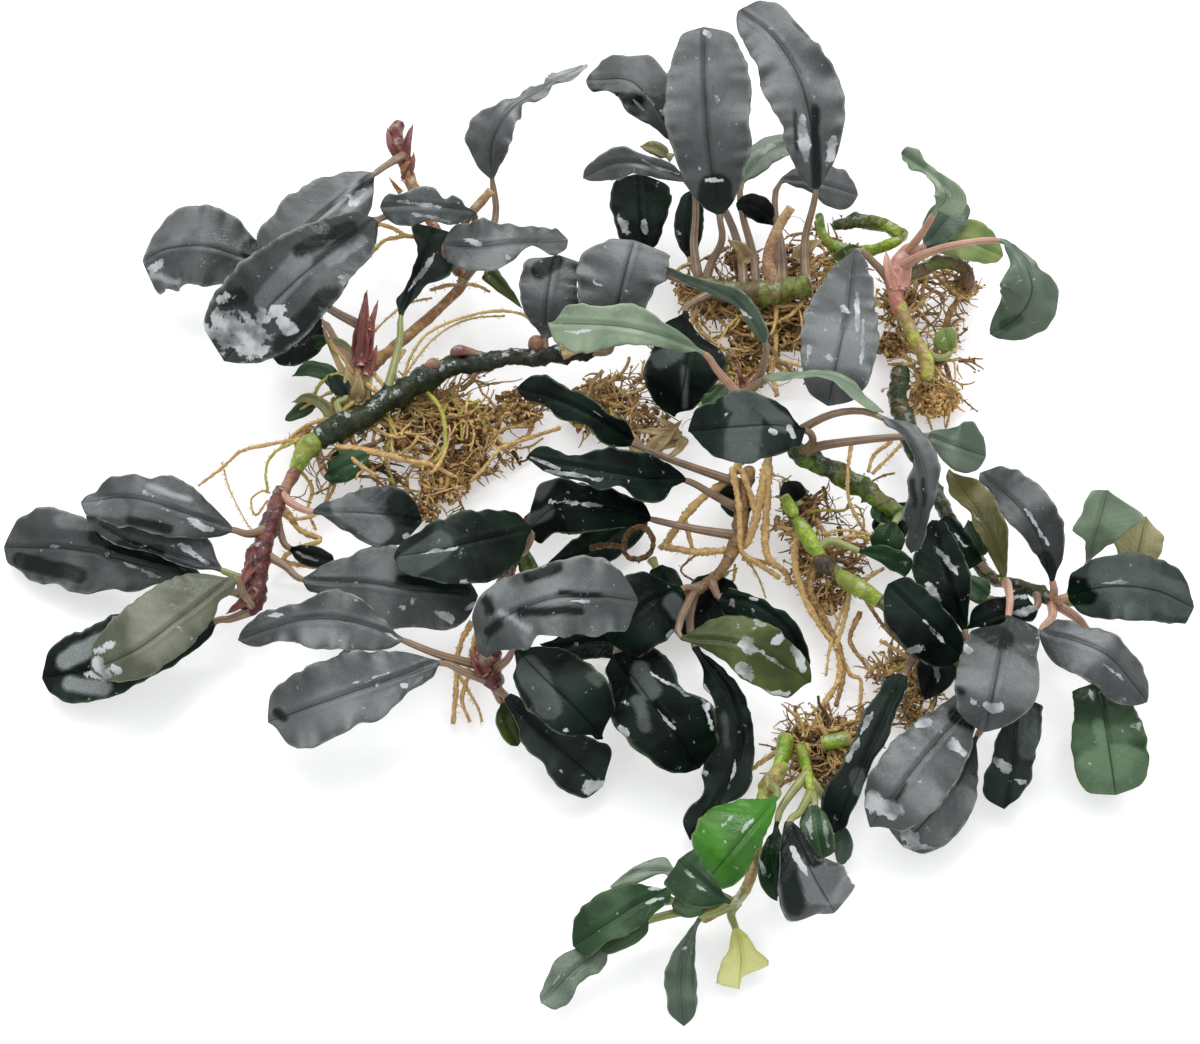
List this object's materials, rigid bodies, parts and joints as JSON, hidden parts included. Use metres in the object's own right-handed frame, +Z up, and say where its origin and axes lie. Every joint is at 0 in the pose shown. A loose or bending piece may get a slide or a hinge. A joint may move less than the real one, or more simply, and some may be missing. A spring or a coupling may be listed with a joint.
{
  "type": "aquarium plant",
  "caption": "Clump of bucephalandra, an aquarium plant: creeping rhizomes with dark glossy oval leaves on thin stalks over mats of fine roots, lying free",
  "frame": {"origin": "on the table, on the flat underside of the middle root mat", "axes": "+Z up from the table; +X to the right and +Y away from the side the clump is seen from"},
  "size_m": [0.1936, 0.1763, 0.0365],
  "materials": {
    "leaf_slate": "glossy slate grey, wet",
    "leaf_dark": "glossy dark green-black, wet",
    "leaf_green": "glossy bright green",
    "leaf_olive": "satin olive",
    "leaf_sage": "satin pale green",
    "rhizome_left": "satin, wet",
    "stem_lower_left": "satin, wet",
    "runner_upper_left": "satin, wet",
    "rhizome_back": "satin, wet",
    "rhizome_mossy": "satin, wet",
    "stem_right_pink": "satin, wet",
    "rhizome_right": "satin, wet",
    "rhizome_green_upper": "satin, wet",
    "rhizome_green_lower": "satin, wet",
    "rhizome_middle": "satin, wet",
    "stem_lower_middle": "satin, wet",
    "stem_bottom_sprig": "satin, wet",
    "roots": "matt, fibrous"
  },
  "bodies": {
    "root": {"leaf_upper_left_1": "leaf_slate", "leaf_upper_left_2": "leaf_slate", "leaf_upper_left_3": "leaf_dark", "leaf_back_left_1": "leaf_slate", "leaf_back_left_2": "leaf_dark", "leaf_back_left_3": "leaf_slate", "leaf_back_left_4": "leaf_slate", "leaf_back_middle_1": "leaf_slate", "leaf_back_middle_2": "leaf_slate", "leaf_back_tall_1": "leaf_dark", "leaf_back_tall_2": "leaf_dark", "leaf_right_1": "leaf_slate", "leaf_centre_1": "leaf_slate", "leaf_centre_2": "leaf_sage", "leaf_centre_3": "leaf_dark", "leaf_centre_4": "leaf_dark", "leaf_middle_1": "leaf_dark", "leaf_middle_2": "leaf_dark", "leaf_middle_3": "leaf_dark", "leaf_right_2": "leaf_slate", "leaf_far_right_1": "leaf_slate", "leaf_far_right_2": "leaf_dark", "leaf_far_right_3": "leaf_slate", "leaf_far_right_4": "leaf_dark", "leaf_lower_right_1": "leaf_slate", "leaf_lower_right_2": "leaf_dark", "leaf_lower_right_3": "leaf_slate", "leaf_left_1": "leaf_dark", "leaf_left_2": "leaf_dark", "leaf_left_3": "leaf_olive", "leaf_lower_left_1": "leaf_slate", "leaf_lower_left_2": "leaf_slate", "leaf_lower_left_3": "leaf_slate", "leaf_lower_left_4": "leaf_slate", "leaf_lower_left_5": "leaf_dark", "leaf_lower_middle_1": "leaf_slate", "leaf_lower_middle_2": "leaf_dark", "leaf_lower_middle_3": "leaf_dark", "leaf_lower_middle_4": "leaf_dark", "leaf_lower_middle_5": "leaf_olive", "leaf_front_1": "leaf_green", "leaf_front_2": "leaf_slate", "rhizome_left": "rhizome_left", "stem_lower_left": "stem_lower_left", "runner_upper_left": "runner_upper_left", "rhizome_back": "rhizome_back", "rhizome_mossy": "rhizome_mossy", "stem_right_pink": "stem_right_pink", "rhizome_right": "rhizome_right", "rhizome_green_upper": "rhizome_green_upper", "rhizome_green_lower": "rhizome_green_lower", "rhizome_middle": "rhizome_middle", "stem_lower_middle": "stem_lower_middle", "stem_bottom_sprig": "stem_bottom_sprig", "root_mat_left": "roots", "root_mat_back": "roots", "root_mat_middle": "roots", "root_mat_right": "roots", "root_mat_lower_right": "roots", "root_mat_front": "roots"}
  },
  "joints": []
}
